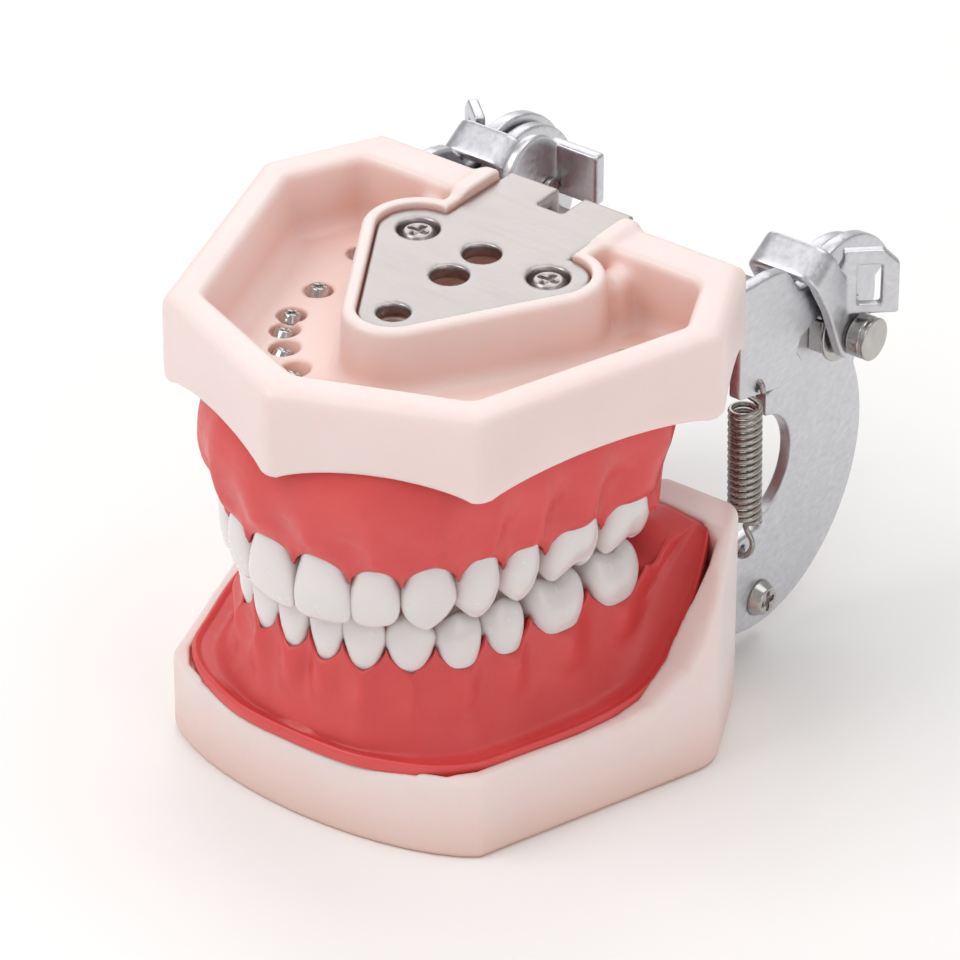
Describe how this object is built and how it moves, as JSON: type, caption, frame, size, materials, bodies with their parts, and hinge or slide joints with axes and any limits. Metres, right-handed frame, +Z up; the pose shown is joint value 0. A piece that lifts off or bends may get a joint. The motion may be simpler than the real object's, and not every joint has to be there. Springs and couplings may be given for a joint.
{
  "type": "dental articulator with tooth models",
  "caption": "Hinged steel articulator that carries an upper and a lower tooth model; the jaw opens against two springs and two swing clips lock it to its hinge pins.",
  "frame": {"origin": "middle of the bounding box, on the surface the lower base stands on", "axes": "+Z up, -Y towards the incisors, +X towards the left side of the model patient"},
  "size_m": [0.0746, 0.0982, 0.0662],
  "materials": {
    "base_plastic": "satin salmon-pink resin, slightly translucent",
    "gum_rubber": "satin red soft gum",
    "tooth_resin": "polished off-white resin",
    "brushed_nickel": "brushed, warm nickel tone",
    "satin_steel": "fine satin",
    "bright_hardware": "bright turned or cold-formed steel",
    "spring_steel": "drawn spring wire"
  },
  "bodies": {
    "lower": {"lower_base": "base_plastic", "lower_gum": "gum_rubber", "lower_frame": "satin_steel", "side_plate_left": "satin_steel", "side_plate_right": "satin_steel", "hinge_pin_left": "bright_hardware", "hinge_pin_right": "bright_hardware", "hinge_nuts": "bright_hardware", "hinge_washers": "bright_hardware", "spring_left": "spring_steel", "spring_right": "spring_steel", "side_plate_screws": "bright_hardware", "lower_plate_screws": "bright_hardware", "lower_tooth_screws": "bright_hardware", "lower_left_central_incisor": "tooth_resin", "lower_left_lateral_incisor": "tooth_resin", "lower_left_canine": "tooth_resin", "lower_left_first_premolar": "tooth_resin", "lower_left_second_premolar": "tooth_resin", "lower_left_first_molar": "tooth_resin", "lower_left_second_molar": "tooth_resin", "lower_right_central_incisor": "tooth_resin", "lower_right_lateral_incisor": "tooth_resin", "lower_right_canine": "tooth_resin", "lower_right_first_premolar": "tooth_resin", "lower_right_second_premolar": "tooth_resin", "lower_right_first_molar": "tooth_resin", "lower_right_second_molar": "tooth_resin"},
    "upper": {"upper_base": "base_plastic", "upper_gum": "gum_rubber", "upper_frame": "brushed_nickel", "upper_arm_left": "satin_steel", "upper_arm_right": "satin_steel", "upper_plate_screws": "bright_hardware", "upper_tooth_screws": "bright_hardware", "upper_left_central_incisor": "tooth_resin", "upper_left_lateral_incisor": "tooth_resin", "upper_left_canine": "tooth_resin", "upper_left_first_premolar": "tooth_resin", "upper_left_second_premolar": "tooth_resin", "upper_left_first_molar": "tooth_resin", "upper_left_second_molar": "tooth_resin", "upper_right_central_incisor": "tooth_resin", "upper_right_lateral_incisor": "tooth_resin", "upper_right_canine": "tooth_resin", "upper_right_first_premolar": "tooth_resin", "upper_right_second_premolar": "tooth_resin", "upper_right_first_molar": "tooth_resin", "upper_right_second_molar": "tooth_resin"},
    "clip_left": {"clip_left": "satin_steel"},
    "clip_right": {"clip_right": "satin_steel", "lever_screw": "bright_hardware"},
    "release_lever": {"release_lever": "satin_steel"}
  },
  "joints": [
    {"name": "jaw_hinge", "type": "hinge", "parent": "lower", "child": "upper", "pos_m": [0, 0.037, 0.045], "axis": [-1, 0, 0], "range_deg": [0, 60], "stiffness_Nm_per_rad": 0.08, "springref_deg": -34.38, "deforming": ["spring_left", "spring_right"]},
    {"name": "clip_left_swing", "type": "hinge", "parent": "upper", "child": "clip_left", "pos_m": [0.0253, 0.037, 0.045], "axis": [-1, 0, 0], "range_deg": [0, 70]},
    {"name": "clip_right_swing", "type": "hinge", "parent": "upper", "child": "clip_right", "pos_m": [-0.0253, 0.037, 0.045], "axis": [-1, 0, 0], "range_deg": [0, 70]},
    {"name": "release_lever_turn", "type": "hinge", "parent": "clip_right", "child": "release_lever", "pos_m": [-0.0185, 0.03433, 0.05144], "axis": [-1, 0, 0], "range_deg": [0, 45]}
  ]
}
